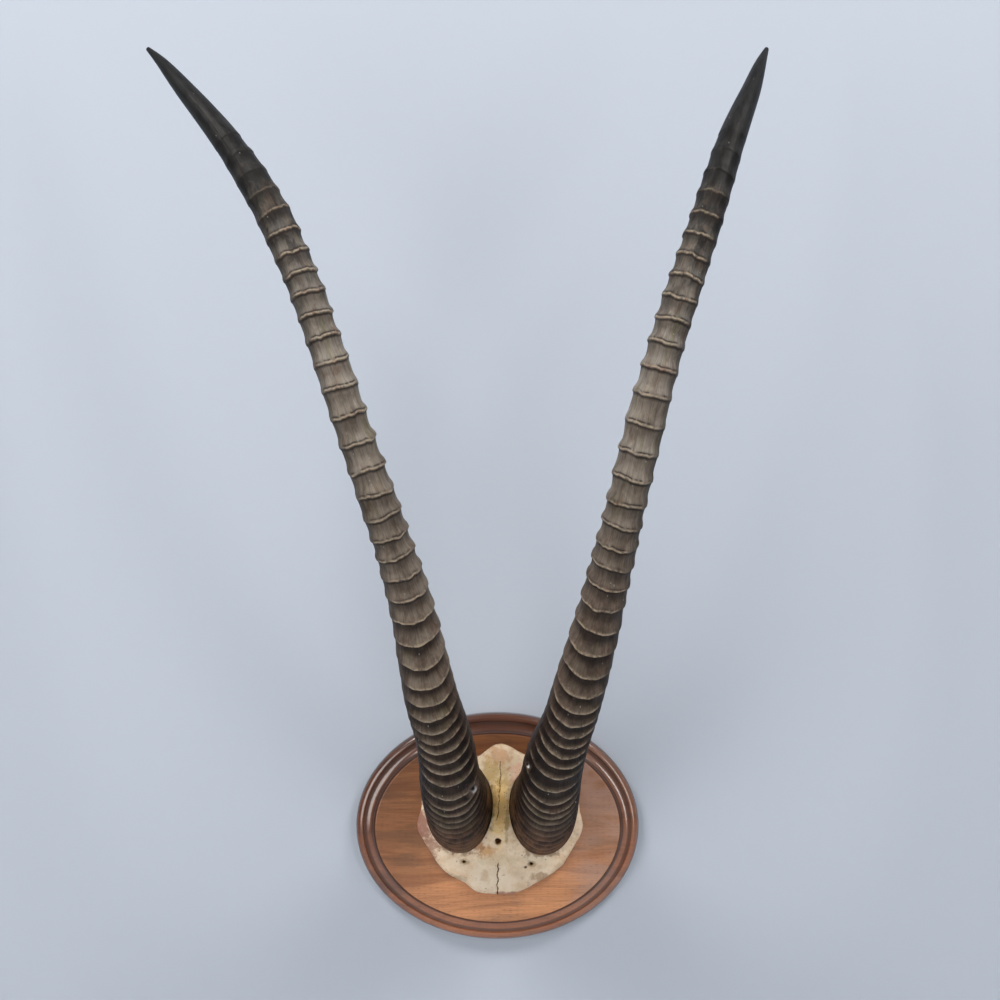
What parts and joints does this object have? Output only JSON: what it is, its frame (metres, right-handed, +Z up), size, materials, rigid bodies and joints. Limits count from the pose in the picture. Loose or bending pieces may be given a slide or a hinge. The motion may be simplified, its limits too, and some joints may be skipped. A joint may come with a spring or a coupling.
{
  "type": "sable antelope horn plaque",
  "caption": "Pair of ringed, back-curving sable antelope horns on a bone skull cap, fixed to an oval walnut plaque that hangs on a wall.",
  "frame": {"origin": "centre of the plaque's flat back, on the wall", "axes": "+Z up the wall; +Y into the wall, so the plaque faces -Y; +X to the right as seen from the front"},
  "size_m": [0.5025, 0.3014, 0.76],
  "materials": {
    "walnut": "satin lacquer",
    "bone": "dry, stained",
    "horn": "dull, smoother at the tip"
  },
  "bodies": {
    "root": {"plaque": "walnut", "skull_cap": "bone", "horn_left": "horn", "horn_right": "horn"}
  },
  "joints": []
}
